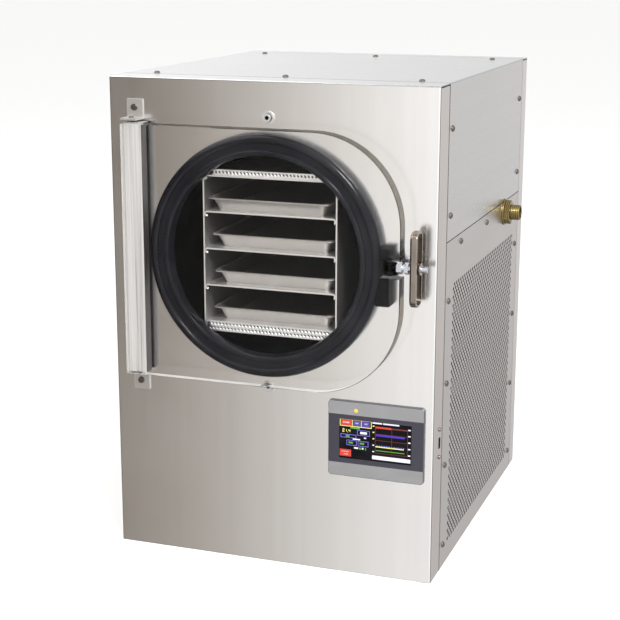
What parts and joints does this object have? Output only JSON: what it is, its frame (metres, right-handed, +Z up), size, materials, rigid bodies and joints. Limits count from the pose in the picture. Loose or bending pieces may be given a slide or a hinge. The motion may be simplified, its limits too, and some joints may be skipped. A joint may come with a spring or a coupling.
{
  "type": "freeze dryer",
  "caption": "Bench freeze dryer: brushed steel cabinet with a round vacuum chamber, clear swing door, tray rack, touch screen, and a perforated side",
  "frame": {"origin": "centre of the cabinet's flat underside, on the floor", "axes": "+Z up, -Y out of the front door, +X to the right as seen from the front"},
  "size_m": [0.5075, 0.5508, 0.6393],
  "materials": {
    "front_steel": "stainless sheet brushed from side to side",
    "cabinet_steel": "stainless sheet, finely brushed",
    "frame_steel": "plain zinc-plated sheet",
    "screw_steel": "plated fasteners",
    "drum_steel": "drawn stainless steel",
    "copper_tube": "bare copper",
    "foam": "closed-cell foam",
    "seal_rubber": "black silicone rubber",
    "brass_fitting": "bare brass",
    "rack_aluminium": "bright aluminium sheet",
    "foil": "reflective foil mat",
    "heater_mat": "silicone heating mat",
    "clear_door": "clear acrylic plate",
    "frosted_bar": "frosted acrylic",
    "bush_brass": "turned brass",
    "hinge_steel": "bent stainless strip",
    "black_plastic": "black moulded plastic",
    "zinc_steel": "bright zinc plate",
    "handle_steel": "polished stainless steel",
    "bezel_plastic": "grey moulded plastic",
    "screen_glass": "dark touch screen",
    "led_amber": "amber lens",
    "board_green": "green circuit board",
    "compressor_black": "black paint",
    "fin_aluminium": "bare fins",
    "lever_red": "red dipped lever",
    "tray_steel": "pressed stainless steel"
  },
  "bodies": {
    "cabinet": {"base_pan": "cabinet_steel", "front_panel": "front_steel", "rear_panel": "cabinet_steel", "top_cover": "cabinet_steel", "side_panel_right": "cabinet_steel", "side_panel_left": "cabinet_steel", "inner_frame": "frame_steel", "panel_screws": "screw_steel", "chamber": "drum_steel", "cooling_coil": "copper_tube", "chamber_insulation": "foam", "chamber_cradle": "frame_steel", "door_gasket": "seal_rubber", "front_bolts": "screw_steel", "flange_nuts": "screw_steel", "vacuum_pipe": "drum_steel", "vacuum_fitting": "brass_fitting", "rack_sides": "rack_aluminium", "rack_shelves": "rack_aluminium", "rack_cap": "rack_aluminium", "rack_shields": "foil", "shelf_heaters": "heater_mat", "rack_glides": "seal_rubber", "hinge_brackets": "hinge_steel", "hinge_pins": "screw_steel", "hinge_screws": "screw_steel", "latch_block": "black_plastic", "latch_pin": "screw_steel", "display_bezel": "bezel_plastic", "touch_screen": "screen_glass", "status_led": "led_amber", "control_board": "board_green", "usb_port": "black_plastic", "usb_screws": "screw_steel", "compressor_mounts": "seal_rubber", "compressor": "compressor_black", "condenser_coil": "fin_aluminium", "fan_shroud": "black_plastic", "fan_motor": "frame_steel", "drain_tube": "drum_steel", "filter_drier": "copper_tube", "power_supply": "frame_steel", "power_inlet": "black_plastic", "pump_socket": "black_plastic", "power_switch": "black_plastic", "drain_valve": "brass_fitting", "tray_1": "tray_steel", "tray_2": "tray_steel", "tray_3": "tray_steel", "tray_4": "tray_steel"},
    "door": {"door_plate": "clear_door", "hinge_bar": "frosted_bar", "hinge_bushings": "bush_brass"},
    "latch": {"latch_bolt": "zinc_steel", "latch_nuts": "zinc_steel"},
    "handle": {"latch_handle": "handle_steel"},
    "fan": {"condenser_fan": "black_plastic"},
    "rocker": {"switch_rocker": "black_plastic"},
    "drain_handle": {"drain_lever": "lever_red"}
  },
  "joints": [
    {"name": "door_hinge", "type": "hinge", "parent": "cabinet", "child": "door", "pos_m": [-0.1835, -0.2665, 0.4175], "axis": [0, 0, -1], "range_deg": [0, 100]},
    {"name": "latch_swing", "type": "hinge", "parent": "cabinet", "child": "latch", "pos_m": [0.1655, -0.276, 0.4175], "axis": [0, 0, -1], "range_deg": [0, 90]},
    {"name": "handle_turn", "type": "hinge", "parent": "latch", "child": "handle", "pos_m": [0.198, -0.276, 0.4175], "axis": [1, 0, 0], "range_deg": [-9, 9]},
    {"name": "fan_spin", "type": "hinge", "parent": "cabinet", "child": "fan", "pos_m": [0.133, 0, 0.127], "axis": [1, 0, 0], "continuous": true},
    {"name": "switch_rock", "type": "hinge", "parent": "cabinet", "child": "rocker", "pos_m": [-0.172, 0.2505, 0.08], "axis": [1, 0, 0], "range_deg": [0, 22]},
    {"name": "drain_turn", "type": "hinge", "parent": "cabinet", "child": "drain_handle", "pos_m": [-0.237, 0.12, 0.0759], "axis": [0, 0, -1], "range_deg": [0, 90]}
  ]
}
